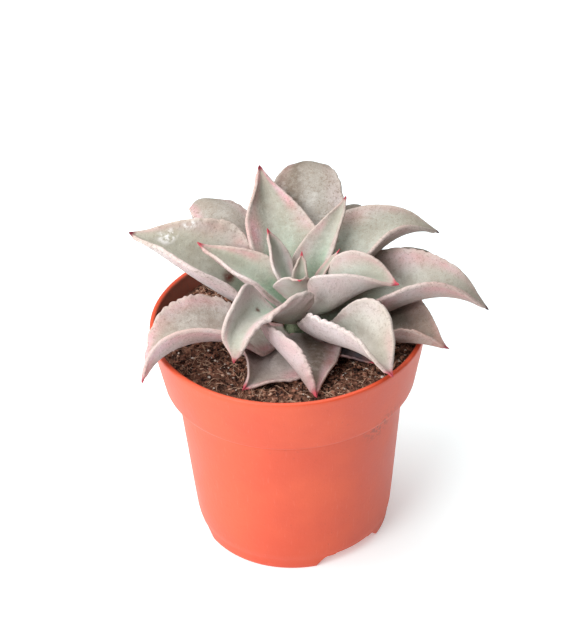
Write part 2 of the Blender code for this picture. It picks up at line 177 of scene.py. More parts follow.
# Brownish dark: the leaf's own brown in part, and painted shade where a leaf or wing lies in shade
BROWN_AND_SHADE_SKIN = (110, 99, 85)
RIM_SKIN = (206, 190, 178)
SPECK_BROWN = (126, 110, 94)
DOT_BROWN = (96, 78, 64)
PALE_BLOOM = (225, 220, 214)
# Dark bluish grey: painted shade over the withered leaf, which lies under the leaves above
WITHERED_SHADE_BLUE = (84, 88, 100)
BRUISE_BROWN = (96, 52, 42)
POWDER_WHITE = (238, 236, 234)
POINT_RED = (190, 78, 90)
POINT_DARK = (78, 26, 38)

# Pot: radius and height of its profile, the outside from the middle of the underside to the lip
POT_OUTSIDE = (
    (0, 6.4), (20, 6.4), (34.2, 6.4), (34.8, 6.1), (34.9, 5.6), (34.9, 0.5), (35.3, 0), (36.9, 0),
    (37.3, 0.5), (37.55, 2.0), (37.8, 4.2), (38.1, 5.6), (38.35, 6.4), (38.7, 8.5), (39.6, 18),
    (40.8, 32), (42.0, 46), (43.2, 60), (43.75, 66.3), (43.95, 67.1), (44.5, 67.5), (47.4, 68.5),
    (48.05, 68.85), (48.3, 69.5), (48.45, 70.4), (49.4, 75.5), (50.6, 82), (51.6, 87.5), (52.2, 90.8),
    (52.45, 92.1), (52.3, 92.75), (51.8, 93.0), (51.1, 93.0), (50.65, 92.75))
POT_INSIDE = (
    (50.45, 92.1), (50.4, 91.2), (50.3, 90), (49.2, 84), (47.3, 71), (46.6, 69.8), (43.0, 67),
    (42.5, 66.3), (37.0, 8), (0, 8))
POT_SIDES = 288

# Gaps in the foot ring: azimuths, then how far the edge rises over the first degrees and steps up after
FOOT_GAPS = ((43, 89), (163, 209), (283, 329))
GAP_TOP = 5.4
GAP_RISE = 4.4
GAP_RISE_DEGREES = 5.0
GAP_RISE_SHAPE = 0.7
GAP_STEP = 0.6
GAP_STEP_DEGREES = 11
GAP_LEAN = 0.15
FOOT_INNER_RADIUS = 30
FOOT_OUTER_RADIUS = 36.5

# Pot material: noise scales and detail, colours, and the smear of soil under the band at the right, in metres
POT_CLOUD = (40, 3.0)
POT_GRAIN = (700, 2.0)
POT_SCRATCH = (1500, 2.0)
SCRATCH_STRETCH = (1, 1, 0.06)
TERRACOTTA = ((211, 75, 42), (219, 85, 50))
SCUFF = (245, 170, 150)
DARK_GRAIN = (170, 60, 40)
SOIL_SMEAR = (112, 60, 44)
SOILED_WALL = (156, 106, 91)
SMEAR_PLACE = (0.025, -0.037, 0.066)
SMEAR_EDGE = (0.012, 0.001)

# Soil: the source's dips, and crumbs as waves of noise, each with its rate, plane and height
SOIL_DIP = 0.8
SOIL_RIPPLE = (0.21, 0.17)
SOIL_DRIFT = (0.09, -0.31)
CRUMB_WAVES = ((0.55, 1.3, 0.9), (1.3, 4.1, 0.5))
SOIL_REACH = 49.0
SOIL_RINGS = 120
SOIL_RING_SPACING = 0.8
SOIL_SIDES = 300
SOIL_UNDERSIDE = (46.5, 72)
WELD = 0.01
SOIL_CLOUD = (300, 4.0, 0.6)
SOIL_GRAIN = (1600, 3.0, 0.7)
PEAT = ((36, 22, 19), (146, 102, 82))
PALE_PEAT = (206, 168, 144)

# Loose lumps: reach from the pot's axis, how many are small, uneven shape, and height over the soil.
# Their turn and tilt are in radians.
LUMP_REACH = 47.5
LUMP_SMALLNESS = 2.2
LUMP_STRETCH = ((0.7, 1.4), (0.7, 1.3), (0.6, 1.0))
LUMP_JITTER = (0.7, 1.25)
LUMP_TURN = (0, 6.28)
LUMP_TILT = (-0.6, 0.6)
LUMP_RISE = (0.0, 0.45)
LUMP_CLOUD = (420, 2.0, 0.6)
LUMP_GRAIN = (3000, 2.0, 0.7)

# Coir fibres, whose bend is in radians
FIBRE_COUNT = 620
FIBRE_SEED = 14
FIBRE_COLOURS = ((140, 94, 72), (222, 186, 160))
FIBRE_LENGTH = (3, 10)
FIBRE_RADIUS = 0.12
FIBRE_UNEVENNESS = (0.6, 1.3)
FIBRE_BEND = (-0.5, 0.5)
FIBRE_BEND_UNEVENNESS = (0.3, 1.7)
FIBRE_HUMP = (0.1, 1.2)
FIBRE_LIFT = 0.5
FIBRE_TAPER = 0.6
FIBRE_REACH = 46
FIBRE_LIMIT = 48
FIBRE_STEPS = 7
FIBRE_SIDES = 4

# Stem: radius and height over the soil line
STEM_PROFILE = (
    (3.0, -6), (3.0, 0), (6.3, 0.4), (6.6, 1.0), (6.6, 2.6), (6.2, 3.3), (5.4, 4.0), (5.2, 5.6),
    (4.5, 6.6), (4.4, 7.6), (4.0, 8.6), (3.9, 9.6), (3.3, 10.4), (2.5, 11.4), (2.3, 12.8), (1.7, 13.5),
    (0.9, 13.8))
STEM_SIDES = 48
KNOBBLE_DEPTH = 0.05
KNOBBLE_RATES = (2, 0.6)
STEM_COLOURS = ((96, 108, 84), (146, 156, 128))

# Camera, fitted to the pot in the photograph. The focal length is in the photograph's pixels.
IMAGE_HEIGHT = 640
FOCAL_PIXELS = 2059.6
CAMERA_DISTANCE = 778.72
CAMERA_ELEVATION = 35.912
CAMERA_ROLL = -1.9008
CAMERA_TARGET = (-6.791, -8.3, 92.631)
SENSOR_WIDTH = 36

# Stage, in metres and watts: for each lamp its name, place, size and power
FLOOR_SIZE = 8
FLOOR_COLOUR = (0.76, 0.86, 0.87, 1)
FLOOR_GLOW = 0.37
WHITE = (1, 1, 1, 1)
WORLD_STRENGTH = 0.06
LAMP_AIM = (0, 0, 0.08)
LAMPS = (
    ("overhead", (-0.3, 0.25, 1.15), 1.1, 8),
    ("sky", (-0.25, 0.05, 1.35), 2.4, 16),
    ("front", (-0.88, -1.0, 0.88), 0.9, 18),
    ("left", (-1.3, -0.3, 0.4), 0.9, 6),
)


@dataclass
class Leaf:
    """One leaf: where its foot stands on the stem, how it runs outward, and how its two wings fold.

    rise is the midrib's slope from foot to tip, swing its turn from the azimuth. left and right are how
    far each wing folds up beside the keel, and the curls how far it goes on bending toward its margin,
    each blended from foot to tip. lean widens the left wing and narrows the right one.
    """
    name: str
    azimuth: float
    seat: float
    foot_radius: float
    length: float
    width: float
    rise: tuple
    left: tuple
    right: tuple
    left_curl: tuple = (0, 0, 0)
    right_curl: tuple = (0, 10, 0)
    swing: tuple = (0, 0)
    widest: float = 0.5
    lean: tuple = (0, 0)
    wave: float = 0.8
    thick: float = 3.2


DROOPING = dict(left=(15, 0, -30), right=(15, 0, -30), left_curl=(0, -20, -20), right_curl=(0, -20, -20))
LEAVES = (
    Leaf("heart_leaf_back", 75, 14.5, 1.2, 19, 7, (86, 84, 80),
         left=(50, 50, 30), right=(50, 50, 30), left_curl=(10, 20, 10), right_curl=(10, 20, 10), wave=0.2,
         thick=2),
    Leaf("heart_leaf_right", 31.2, 14.6, 3, 21.5, 4.8, (53, 54, 52, 51),
         left=(30, 20, 20), right=(30, 40, 30), right_curl=(10, 20, 10), swing=(0, -12), wave=0.1,
         thick=1.3),
    Leaf("heart_leaf_front", -91, 13.4, 2, 23, 14, (85, 82, 60, 20),
         left=(20, 10, 10), right=(10, 0, 10), left_curl=(10, 20, 10), right_curl=(10, 20, 10),
         widest=0.42, lean=(-0.5, -0.5, 0), wave=0.4, thick=1.7),
    Leaf("heart_leaf_left", 134, 14, 3.1, 28, 14, (60, 66, 62, 62),
         left=(40, 40, 30), right=(30, 30, 20), left_curl=(10, 20, 10), right_curl=(10, 20, 10),
         lean=(0.6, 0.5, 0.2), wave=0.3, thick=2.4),
    Leaf("inner_leaf_back", 46, 11.7, 4.4, 43, 12.8, (60, 64, 42, 20),
         left=(30, 20, 10), right=(16, 10, 10), left_curl=(10, 20, 10), right_curl=(10, 20, 10),
         swing=(0, 8, 24), widest=0.33, lean=(0.9, 0.6, 0.2), wave=0.3, thick=2.5),
    Leaf("inner_leaf_left", 160.5, 10.2, 4.8, 41.5, 22, (42, 38, 18, 36),
         left=(30, 50, 30), right=(50, 75, 25), left_curl=(0, 10, 0), right_curl=(0, 0, 0), widest=0.44,
         lean=(-0.4, 0.4, 0), wave=0.5, thick=2.8),
    Leaf("inner_leaf_right", -17, 11, 4, 37.5, 32, (21, 55, 41, -8),
         left=(20, 105, 40), right=(62, 85, 40), right_curl=(10, 20, 10), swing=(0, 3), widest=0.46,
         lean=(-0.6, 0, 0.4), wave=0.4, thick=2.7),
    Leaf("middle_leaf_back", 105, 10, 5.8, 57.5, 28.5, (44, 34, 20, 37),
         left=(0, 30, 30), right=(50, 20, 10), left_curl=(0, 20, 20), right_curl=(0, 0, 0), widest=0.4,
         lean=(-0.2, 0.1, 0.1)),
    Leaf("middle_leaf_front_left", -131, 9.5, 5, 48, 27, (35, 50, 18, -95),
         left=(42, 68, -10), right=(0, 0, 90, 160, -40), left_curl=(10, 10, 0), swing=(0, 0, 16),
         widest=0.38, lean=(0.9, 1, -1.4, 0.8)),
    Leaf("middle_leaf_back_right", 32.5, 8.4, 5.5, 61, 32, (20, 56, 58, 5, -35),
         left=(30, 45, 15), right=(30, 55, 30), right_curl=(0, 20, 10), swing=(0, -8, -21), widest=0.48,
         lean=(0.4, 0.2, 0)),
    Leaf("middle_leaf_left", 160.5, 6.25, 5.8, 67, 39, (10, 37, 33, 14),
         left=(30, 35, 20), right=(45, 75, 30), left_curl=(10, 50, 20), widest=0.56,
         lean=(-0.2, -0.2, 0.1)),
    Leaf("middle_leaf_front_right", -53, 8, 6, 48, 33, (4, 22, 22, -34),
         left=(60, 110, 60, 10), right=(0, 70, 50), left_curl=(0, 10, 10), right_curl=(60, 30, 0),
         widest=0.52, lean=(-0.9, -0.7, 1.1, -0.5)),
    Leaf("outer_leaf_back", 86, 7.2, 6.5, 81.5, 31, (15, 32, 85, 42, -120),
         left=(10, 0, -20), right=(10, 10, -10), left_curl=(0, -10, -20), right_curl=(0, -10, -20)),
    Leaf("outer_leaf_front_left", -152.5, 3.9, 7, 67.5, 33, (13, 29, 32, -72),
         left=(0, -60, 130, 80), right=(30, 55, -20), swing=(0, 3, 6), widest=0.45,
         lean=(0.3, 0.3, -0.6, 0)),
    Leaf("outer_leaf_right", -6, 5.6, 7, 67.5, 33, (0, 24, 72, -18, -42),
         left=(0, 85, 25), right=(45, 60, 45), right_curl=(0, 20, 10), widest=0.47, lean=(0.6, 0.2, 0)),
    Leaf("outer_leaf_back_left", 126, 3.6, 7.1, 80, 26, (20, 40, 62, 15, -100),
         **DROOPING),
    Leaf("outer_leaf_front", -93, 4.8, 7, 36, 34, (5, 24, -21, -25),
         left=(0, -5, 10), right=(0, 10, 60), right_curl=(0, 110, 110), swing=(0, 9, 22), widest=0.38,
         lean=(0, -0.35, 0)),
    Leaf("low_leaf_far_right", 28.5, 2.7, 8.5, 62.5, 26, (4, 38, 62, 6, -90),
         **DROOPING),
    Leaf("outer_leaf_front_right", -25, 3.5, 8.5, 50.5, 30, (-2, 17, 24, -14),
         left=(-10, 40, 15), right=(12, 0, 70, 90), widest=0.56, lean=(0, 0.5, 0.6, 0), thick=2.6),
    Leaf("low_leaf_back_right", 66, 4.7, 8, 70, 27, (8, 40, 70, -5, -100),
         **DROOPING),
    Leaf("low_leaf_front_left", -115, 2.35, 8.7, 34, 29, (-1, 3, 3, -5),
         left=(0, 5, 15), right=(0, -28, 5, 160), swing=(0, -12, -10), thick=2.2),
    Leaf("withered_leaf", -44, 1.65, 10, 26, 15, (0, 0, 8, 8),
         left=(0, 0, 0), right=(0, 20, 40), right_curl=(10, 20, 10), wave=0.2, thick=1.5),
)


@dataclass
class Look:
    """How one leaf's skin differs from plain grey, painted shade and light included.

    ragged is how deep the margin is cut, in millimetres, and all else a share from 0 to 1. Pairs hold the
    left and the right wing's value.
    """
    ragged: tuple
    green: float
    blush: float
    speckle: float
    # Pale lilac per wing: partly the bloom of undersides, partly painted light on hollows and wings that lie
    # in shade
    lavender_and_light: tuple = (0, 0)
    # Brownish darkening per wing: partly the leaf's own brown, partly painted shade on wings that lie in
    # shade
    brown: tuple = (0, 0)
    cream: float = 0.0
    dark_tip: float = 0.0
    dry: float = 0.0
    # How far the dark bluish grey of painted shade covers the leaf
    blue: float = 0.0


LOOKS = {
    "heart_leaf_back": Look((0.1, 0.1), green=0.7, blush=0.3, speckle=0.2),
    "heart_leaf_right": Look((0, 0), green=0.7, blush=0.6, speckle=0.1),
    "heart_leaf_front": Look((0.3, 0.5), green=1, blush=0.45, speckle=0.2, lavender_and_light=(0.75, 0.75)),
    "heart_leaf_left": Look((0.1, 0.1), green=0.9, blush=0.4, speckle=0.2, lavender_and_light=(0.7, 0.7)),
    "inner_leaf_back": Look(
        (0.1, 0.1), green=0.75, blush=0.5, speckle=0.4, brown=(0.2, 0.1), dark_tip=0.5),
    "inner_leaf_left": Look((0.2, 0.2), green=0.8, blush=0.6, speckle=0.4, lavender_and_light=(0.9, 0), cream=0.5),
    "inner_leaf_right": Look((0.3, 0.2), green=1, blush=0.45, speckle=0.4, lavender_and_light=(0.35, 0.75)),
    "middle_leaf_back": Look(
        (0.2, 0.4), green=0.85, blush=0.9, speckle=0.6, brown=(0.15, 0.3), cream=0.3, dark_tip=0.6),
    "middle_leaf_front_left": Look((1.2, 0.3), green=0.9, blush=0.6, speckle=0.5, lavender_and_light=(0.3, 0.75)),
    "middle_leaf_back_right": Look(
        (0.2, 0.3), green=0.6, blush=0.45, speckle=0.7, brown=(0.3, 0.2), dark_tip=1),
    "middle_leaf_left": Look(
        (0.4, 0.6), green=0.65, blush=0.45, speckle=0.6, lavender_and_light=(1, 0), brown=(0, 0.2), cream=0.5,
        dark_tip=0.8),
    "middle_leaf_front_right": Look(
        (0.6, 1.5), green=0.2, blush=0.35, speckle=0.5, lavender_and_light=(0.2, 0.9), cream=0.4),
    "outer_leaf_back": Look((0.6, 0.6), green=0.15, blush=0.3, speckle=1, brown=(1, 0.25), dark_tip=1),
    "outer_leaf_front_left": Look(
        (0.3, 1.5), green=0.1, blush=0.8, speckle=0.6, brown=(0.35, 0.45), cream=0.3),
    "outer_leaf_right": Look((0.9, 0.3), green=0.55, blush=0.8, speckle=0.6, brown=(0, 0.2), dark_tip=1),
    "outer_leaf_back_left": Look(
        (0.7, 0.7), green=0.25, blush=0.7, speckle=1, brown=(0.35, 0.2), dark_tip=1),
    "outer_leaf_front": Look(
        (0.4, 1.3), green=0, blush=0.6, speckle=0.5, lavender_and_light=(0, 0.9), brown=(1, 0)),
    "low_leaf_far_right": Look(
        (0.4, 0.4), green=0.1, blush=0.3, speckle=1, brown=(0.6, 0.6), dark_tip=1),
    "outer_leaf_front_right": Look(
        (0.6, 0.8), green=0.3, blush=0.4, speckle=0.8, brown=(0.5, 0.5), dark_tip=0.6, dry=0.6),
    "low_leaf_back_right": Look(
        (0.4, 0.4), green=0.1, blush=0.3, speckle=1, brown=(0.6, 0.6), dark_tip=1),
    "low_leaf_front_left": Look(
        (0.5, 0.3), green=0, blush=0.7, speckle=0.6, lavender_and_light=(0.4, 0.4), brown=(0.2, 0)),
    "withered_leaf": Look((0.2, 0.4), green=0, blush=0.2, speckle=0.6, dry=0.6, blue=1),
}

OLD_LEAVES = ("low_leaf_far_right", "low_leaf_back_right", "withered_leaf")

# Brown bruises and powdery patches: leaf, place along, place across, radius
BRUISES = (
    ("middle_leaf_left", 0.4, -0.22, 2.8),
    ("middle_leaf_left", 0.3, 0.1, 1.2),
    ("middle_leaf_front_left", 0.45, -0.19, 1.4),
)
POWDER = (
    ("middle_leaf_left", 0.82, -0.45, 3.6),
    ("middle_leaf_left", 0.74, -0.85, 2.4),
)


@dataclass
class Lumps:
    """Loose lumps of one kind on the soil. flat presses them down, and the colours are mixed by noise."""
    name: str
    material: str
    colours: tuple
    count: int
    smallest: float
    largest: float
    seed: int
    flat: float


LUMPS = (
    Lumps("peat_crumbs", "peat_crumb", ((34, 20, 18), (172, 120, 98)), 3200, 0.25, 1.3, 11, 0.7),
    Lumps("bark_chips", "bark_chip", ((134, 86, 68), (226, 186, 160)), 760, 0.2, 0.95, 12, 0.5),
    Lumps("pale_chips", "pale_chip", ((214, 196, 182), (246, 240, 232)), 420, 0.25, 0.85, 13, 0.5),
)


def blend(values, share):
    """A smooth passage through a leaf's settings, from the foot's value to the tip's."""
    degree = len(values) - 1
    total = np.zeros_like(share)
    for k, value in enumerate(values):
        total += math.comb(degree, k) * share**k * (1 - share) ** (degree - k) * value
    return total


def smooth_curve(at, known_at, known):
    """A curve through the known points that never overshoots them."""
    x = np.array(known_at)
    y = np.array(known)
    step = np.diff(x)
    grade = np.diff(y) / step
    slope = np.concatenate([grade[:1], np.zeros(len(grade) - 1), grade[-1:]])
    for k in range(1, len(grade)):
        if grade[k - 1] * grade[k] > 0:
            before = 2 * step[k] + step[k - 1]
            after = step[k] + 2 * step[k - 1]
            slope[k] = (before + after) / (before / grade[k - 1] + after / grade[k])
    k = np.clip(np.searchsorted(x, at) - 1, 0, len(step) - 1)
    t = (at - x[k]) / step[k]
    return ((1 + 2 * t) * (1 - t) ** 2 * y[k] + t * (1 - t) ** 2 * step[k] * slope[k]
            + t * t * (3 - 2 * t) * y[k + 1] + t * t * (t - 1) * step[k] * slope[k + 1])


def smooth_step(low, high, value):
    """0 at low, 1 at high and a smooth passage between. low may be the greater of the two."""
    t = np.clip((value - low) / (high - low), 0, 1)
    return t * t * (3 - 2 * t)


def half_width(leaf, share):
    """Half the leaf's width along its length, with the widest place moved to leaf.widest."""
    rising = share / leaf.widest * OUTLINE_WIDEST
    falling = OUTLINE_WIDEST + (share - leaf.widest) / (1 - leaf.widest) * (1 - OUTLINE_WIDEST)
    warped = np.where(share < leaf.widest, rising, falling)
    return smooth_curve(warped, OUTLINE_AT, OUTLINE_WIDE) * leaf.width / 2


def midrib(leaf, stations):
    """The keel's points and its sideways, upward and forward directions. It starts at 0 and runs along +X."""
    share = np.linspace(0, 1, WALK_STEPS + 1)
    slope = np.radians(blend(leaf.rise, share))
    turn = np.radians(blend(leaf.swing, share))
    along = np.stack([np.cos(slope) * np.cos(turn), np.cos(slope) * np.sin(turn), np.sin(slope)], 1)
    strides = (along[1:] + along[:-1]) / 2 * leaf.length / WALK_STEPS
    path = np.concatenate([np.zeros((1, 3)), np.cumsum(strides, 0)])
    side = np.stack([-np.sin(turn), np.cos(turn), np.zeros_like(turn)], 1)
    up = np.cross(along, side)
    return [np.stack([np.interp(stations, share, rows[:, axis]) for axis in range(3)], 1)
            for rows in (path, side, up, along)]


def ripple(row, share, rate):
    """Smooth wandering values between about -1 and 1 along a margin."""
    places = [Vector((s * rate, row * RIPPLE_ROW_STEP, RIPPLE_PLANE)) for s in share]
    return np.array([noise.noise(place) for place in places]) * RIPPLE_GAIN


def notches(row, share, depth):
    """How far a ragged margin is cut back: scallops of uneven size on the shoulder, none at foot and tip."""
    phase = share * SCALLOPS + ripple(row, share, DRIFT_RATE) * SCALLOP_DRIFT
    scallop = 1 - np.abs(np.sin(phase * math.pi)) ** SCALLOP_SHAPE
    uneven = np.clip(0.5 + ripple(row + STRENGTH_ROW, share, STRENGTH_RATE), 0, 1)
    strength = WEAKEST_SCALLOP + (1 - WEAKEST_SCALLOP) * uneven
    calm = smooth_step(*RAGGED_FROM_FOOT, share) * smooth_step(*RAGGED_FROM_TIP, share)
    nick = NICK_SHARE * (0.5 + 0.5 * ripple(row + NICK_ROW, share, NICK_RATE))
    return depth * calm * (scallop * strength + nick)


def fold(leaf, sign, reach, share, across):
    """Distance out, height and tilt of one wing's points. across is 0 at the keel and 1 at the margin."""
    lift = np.radians(blend(leaf.left if sign > 0 else leaf.right, share))[:, None]
    curl = np.radians(blend(leaf.left_curl if sign > 0 else leaf.right_curl, share))[:, None]
    at = (np.arange(ARC_STEPS) + 0.5) / ARC_STEPS
    tilt = lift * np.minimum(1, at / KEEL_SHARE) + curl * at
    start = np.zeros((len(share), 1))
    out = np.concatenate([start, np.cumsum(np.cos(tilt), 1)], 1) / ARC_STEPS * reach[:, None]
    height = np.concatenate([start, np.cumsum(np.sin(tilt), 1)], 1) / ARC_STEPS * reach[:, None]
    place = across * ARC_STEPS
    low = np.minimum(place.astype(int), ARC_STEPS - 1)
    part = place - low
    row = np.arange(len(share))[:, None]
    out_here = out[row, low] * (1 - part) + out[row, low + 1] * part
    height_here = height[row, low] * (1 - part) + height[row, low + 1] * part
    return out_here, height_here, lift * np.minimum(1, across / KEEL_SHARE) + curl * across


def flutter(leaf, ragged, seed, sign, share, u):
    """How far a wing leaves its own curve: a slow wave, and a frill where its margin is ragged."""
    calm = np.clip(np.minimum(share / CALM_FOOT, (1 - share) / CALM_TIP), 0, 1)[:, None]
    wave = leaf.wave * u**3 * np.sin(2 * math.pi * (WAVES * share[:, None] + WAVE_SHIFT * sign))
    frill = ragged * FRILL_SHARE * u**6 * ripple(seed + FRILL_ROW + sign, share, FRILL_RATE)[:, None]
    return (wave + frill) * calm


def thickness(leaf, share, u):
    """How thick the leaf is: fullest at the keel near the foot, thinner toward the tip and the margin."""
    body = np.clip(FOOT_BODY + BODY_SWELL * share, 0, 1) * (1 - BODY_TAPER * share - TIP_TAPER * share**2)
    slim = np.clip(2 * half_width(leaf, share) / leaf.thick, SLIM_LIMIT, 1)
    margin = min(THICKEST_MARGIN, max(EDGE_THICKNESS, MARGIN_SHARE * leaf.thick))
    swell = (leaf.thick * body[:, None] - margin) * (1 - np.clip(u, 0, 1) ** 2) ** ROUNDING
    return (margin + swell) * slim[:, None]


def wing(leaf, look, seed, sign, share, line):
    """One wing's upper and lower face from keel to margin, and its rounded rim from the upper face down.

    sign is 1 for the left wing and -1 for the right one. line holds the places across it.
    """
    keel, side, up, _ = midrib(leaf, share)
    reach = half_width(leaf, share) * (1 + sign * blend(leaf.lean, share))
    ragged = look.ragged[0 if sign > 0 else 1]
    cut = notches(seed + WING_ROWS[sign], share, ragged) / np.maximum(reach, LEAST_REACH)
    u = line[None, :] * (1 - cut[:, None] * smooth_step(*RAGGED_ACROSS, line)[None, :])
    out, height, tilt = fold(leaf, sign, reach, share, u)
    sideways = sign * side[:, None]
    upward = up[:, None]
    normal = np.cos(tilt)[..., None] * upward - np.sin(tilt)[..., None] * sideways
    outward = np.cos(tilt)[..., None] * sideways + np.sin(tilt)[..., None] * upward
    upper = keel[:, None] + out[..., None] * sideways + height[..., None] * upward
    upper = upper + normal * flutter(leaf, ragged, seed, sign, share, u)[..., None]
    depth = thickness(leaf, share, u)
    lower = upper - normal * depth[..., None]
    middle = (upper[:, -1] + lower[:, -1]) / 2
    half = depth[:, -1, None] / 2
    rim = []
    for m in range(1, RIM_POINTS + 1):
        angle = math.pi * m / (RIM_POINTS + 1)
        away = math.cos(angle) * normal[:, -1] + RIM_BULGE * math.sin(angle) * outward[:, -1]
        rim.append(middle + half * away)
    return upper, lower, np.stack(rim, 1)


def leaf_rings(leaf, look, seed):
    """Closed rings round the leaf from foot to tip, with each point's place along, across and under."""
    share = np.linspace(0, 1, FINE_STATIONS + 1)
    share = share + STATION_SHIFT * np.sin(math.pi * share) * share * (1 - share)
    line = np.linspace(0, 1, SIDE_POINTS) ** SIDE_SPACING
    left_upper, left_lower, left_rim = wing(leaf, look, seed, 1, share, line)
    right_upper, right_lower, right_rim = wing(leaf, look, seed, -1, share, line)
    rings = np.concatenate([right_upper[:, :0:-1], left_upper, left_rim,
                            left_lower[:, :0:-1], right_lower, right_rim[:, ::-1]], 1)
    face = np.concatenate([-line[:0:-1], line])
    rim = np.ones(RIM_POINTS)
    rim_under = np.arange(1, RIM_POINTS + 1) / (RIM_POINTS + 1)
    across = np.concatenate([face, rim, -face, -rim])
    under = np.concatenate([np.zeros_like(face), rim_under, np.ones_like(face), rim_under[::-1]])
    return rings, share, across, under


def tube_faces(rows, sides, first=0):
    """Four-sided faces that join rings of points into a tube."""
    faces = []
    for i in range(rows - 1):
        for k in range(sides):
            after = (k + 1) % sides
            low = first + i * sides
            faces.append((low + k, low + after, low + sides + after, low + sides + k))
    return faces


def closed_tube_faces(rows, sides, first=0):
    """A tube with one flat face over each end."""
    faces = tube_faces(rows, sides, first)
    faces.append(tuple(first + k for k in range(sides - 1, -1, -1)))
    faces.append(tuple(first + (rows - 1) * sides + k for k in range(sides)))
    return faces


def finished_mesh(name, points, faces, weld=0.0):
    """A smooth-shaded mesh with its faces turned outward. Points closer than weld become one."""
    mesh = bpy.data.meshes.new(name)
    mesh.from_pydata((np.array(points) * MM).tolist(), [], faces)
    bm = bmesh.new()
    bm.from_mesh(mesh)
    if weld:
        bmesh.ops.remove_doubles(bm, verts=bm.verts, dist=weld * MM)
    bmesh.ops.recalc_face_normals(bm, faces=bm.faces)
    bm.to_mesh(mesh)
    bm.free()
    mesh.polygons.foreach_set("use_smooth", [True] * len(mesh.polygons))
    return mesh


def add_mask(mesh, name, values):
    attribute = mesh.attributes.new(name, "FLOAT", "POINT")
    attribute.data.foreach_set("value", values.astype(np.float32))


def add_piece(name, mesh, material, slot, *nodes):
    """A piece that rides on the part's one body, in the place of the CAD nodes that are named."""
    piece = bpy.data.objects.new(name, mesh)
    bpy.context.scene.collection.objects.link(piece)
    mesh.materials.append(material)
    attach(piece, "root")
    if nodes:
        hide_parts(*nodes)


def leaf_mesh(leaf, look, seed):
    """The fine leaf in its place on the plant, with its colour masks as attributes."""
    rings, share, across, under = leaf_rings(leaf, look, seed)
    forward = midrib(leaf, share)[3][-1]
    count = rings.shape[1]
    foot = rings[0].mean(0)
    centre = rings[-1].mean(0)
    tip = [centre + (rings[-1] - centre) * size + forward * POINT_LENGTH * distance
           for distance, size, _ in POINT_RINGS]
    end = centre + forward * POINT_LENGTH * POINT_END[0]
    rows = len(rings) + len(tip)
    points = np.concatenate([rings.reshape(-1, 3), np.array(tip).reshape(-1, 3), foot[None], end[None]])
    turn = math.radians(leaf.azimuth)
    spin = np.array([[math.cos(turn), -math.sin(turn), 0], [math.sin(turn), math.cos(turn), 0], [0, 0, 1]])
    place = np.array([leaf.foot_radius * math.cos(turn) + ROSETTE_AXIS[0] + POT_AXIS[0],
                      leaf.foot_radius * math.sin(turn) + ROSETTE_AXIS[1] + POT_AXIS[1],
                      leaf.seat + SOIL_TOP])
    faces = tube_faces(rows, count)
    last = (rows - 1) * count
    for k in range(count):
        after = (k + 1) % count
        faces.append((rows * count, after, k))
        faces.append((rows * count + 1, last + k, last + after))
    mesh = finished_mesh(leaf.name + "_skin", points @ spin.T + place, faces)
    along = np.concatenate([share, [at for _, _, at in POINT_RINGS]])
    s = np.concatenate([np.repeat(along, count), [0, POINT_END[1]]])
    u = np.concatenate([np.tile(across, rows), [0, 0]])
    below = np.concatenate([np.tile(under, rows), [0, 0]])
    for name, values in leaf_masks(leaf, look, seed, s, u, below).items():
        add_mask(mesh, name, values)
    return mesh


def patches(leaf, spots, s, u):
    """How deep each point lies in the leaf's own round patches."""
    depth = np.zeros_like(s)
    for name, along, across, radius in spots:
        if name == leaf.name:
            wide = half_width(leaf, np.array([along]))[0]
            away = np.hypot((s - along) * leaf.length, (u - across) * wide) / radius
            depth = np.maximum(depth, smooth_step(*PATCH_EDGE, away))
    return depth


def skin_noise(s, u, seed, rates):
    """Smooth noise over the skin, with how fast it changes along, across and from leaf to leaf."""
    along, across, between = rates
    return np.array([noise.noise(Vector((a * along, b * across, seed * between))) for a, b in zip(s, u)])


def passage(start, end, mask):
    """From start to end, as far as the mask says."""
    return start + (end - start) * mask


